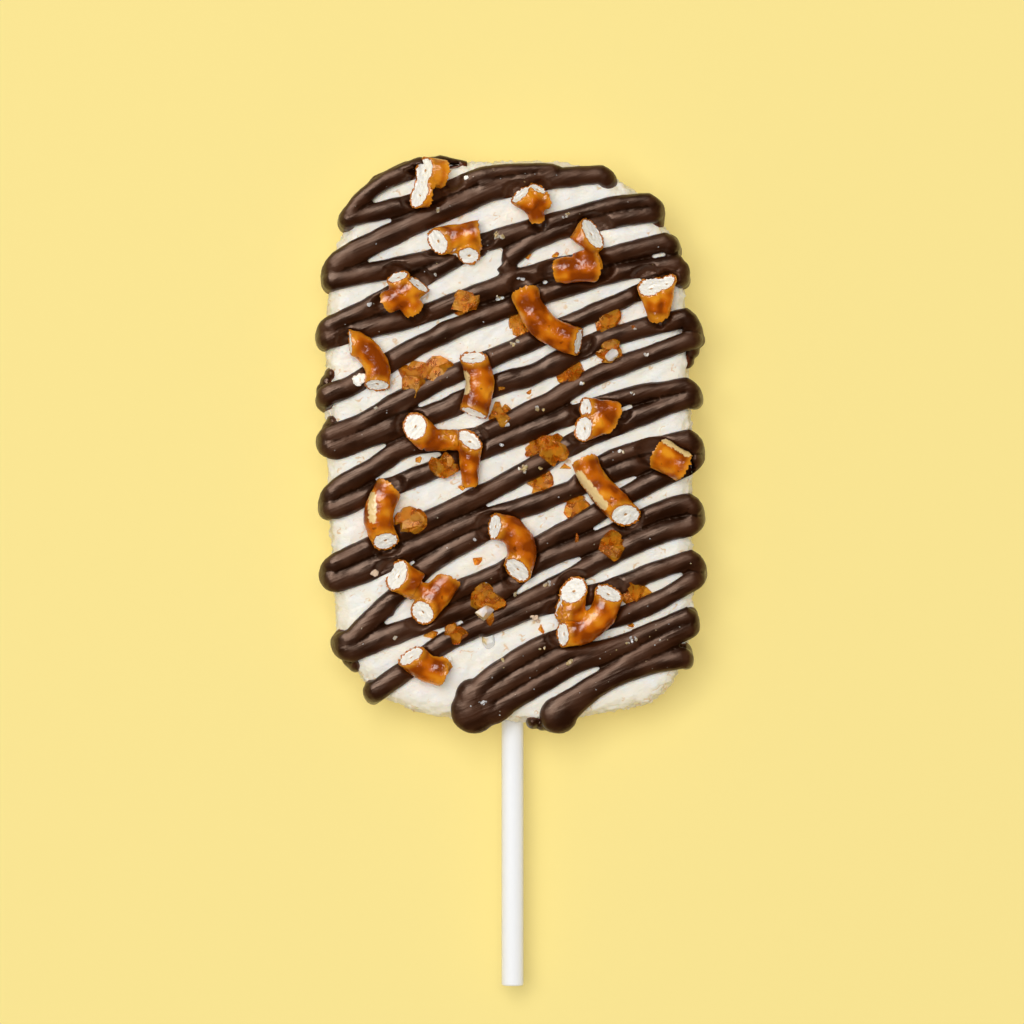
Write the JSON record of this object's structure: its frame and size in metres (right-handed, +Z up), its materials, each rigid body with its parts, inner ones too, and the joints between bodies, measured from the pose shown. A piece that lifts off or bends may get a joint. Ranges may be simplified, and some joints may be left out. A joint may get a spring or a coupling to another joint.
{
  "type": "marshmallow pop",
  "caption": "Slab of marshmallow lying on its back on a round paper stick, drizzled with dark chocolate and scattered with broken pretzel pieces and toffee chips.",
  "frame": {"origin": "on the surface that the pop lies on, under the middle of the whole pop's box", "axes": "+Y from the stick's free end towards the top of the pop, +Z up out of the shown, drizzled side, +X to the right as seen from above"},
  "size_m": [0.0714, 0.1514, 0.0236],
  "materials": {
    "marshmallow": "soft matt, with semi-gloss dark chocolate drizzle",
    "paper": "smooth matt paper",
    "pretzel": "glossy baked crust with pale crumb where it is broken"
  },
  "bodies": {
    "root": {"marshmallow": "marshmallow", "stick": "paper", "pretzel_01": "pretzel", "pretzel_02": "pretzel", "pretzel_03": "pretzel", "pretzel_04": "pretzel", "pretzel_05": "pretzel", "pretzel_06": "pretzel", "pretzel_07": "pretzel", "pretzel_08": "pretzel", "pretzel_09": "pretzel", "pretzel_10": "pretzel", "pretzel_11": "pretzel", "pretzel_12": "pretzel", "pretzel_13": "pretzel", "pretzel_14": "pretzel", "pretzel_15": "pretzel", "pretzel_16": "pretzel", "pretzel_17": "pretzel", "pretzel_18": "pretzel"}
  },
  "joints": []
}
